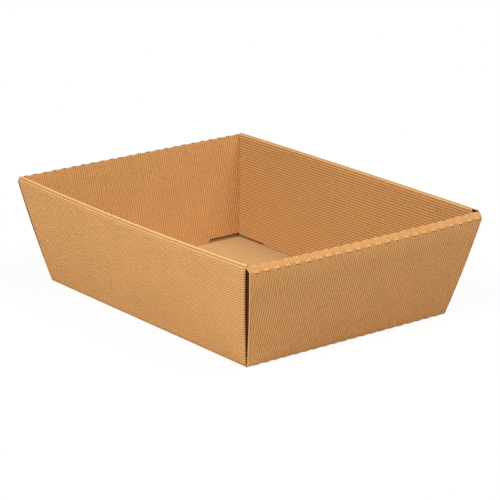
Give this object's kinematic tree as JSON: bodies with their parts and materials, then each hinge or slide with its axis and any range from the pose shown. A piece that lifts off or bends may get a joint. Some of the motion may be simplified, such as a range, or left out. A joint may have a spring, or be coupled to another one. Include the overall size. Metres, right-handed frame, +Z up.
{
  "type": "cardboard tray",
  "caption": "Flared open tray folded from one sheet of brown fluted card, with rolled double walls, for packing and showing goods.",
  "frame": {"origin": "under the middle of the floor, on the surface that the tray stands on", "axes": "+X along the long walls, +Y along the short walls, +Z up"},
  "size_m": [0.42, 0.3102, 0.1176],
  "materials": {
    "kraft_card": "matt brown kraft card with bare flutes"
  },
  "bodies": {
    "root": {"tray": "kraft_card"}
  },
  "joints": []
}
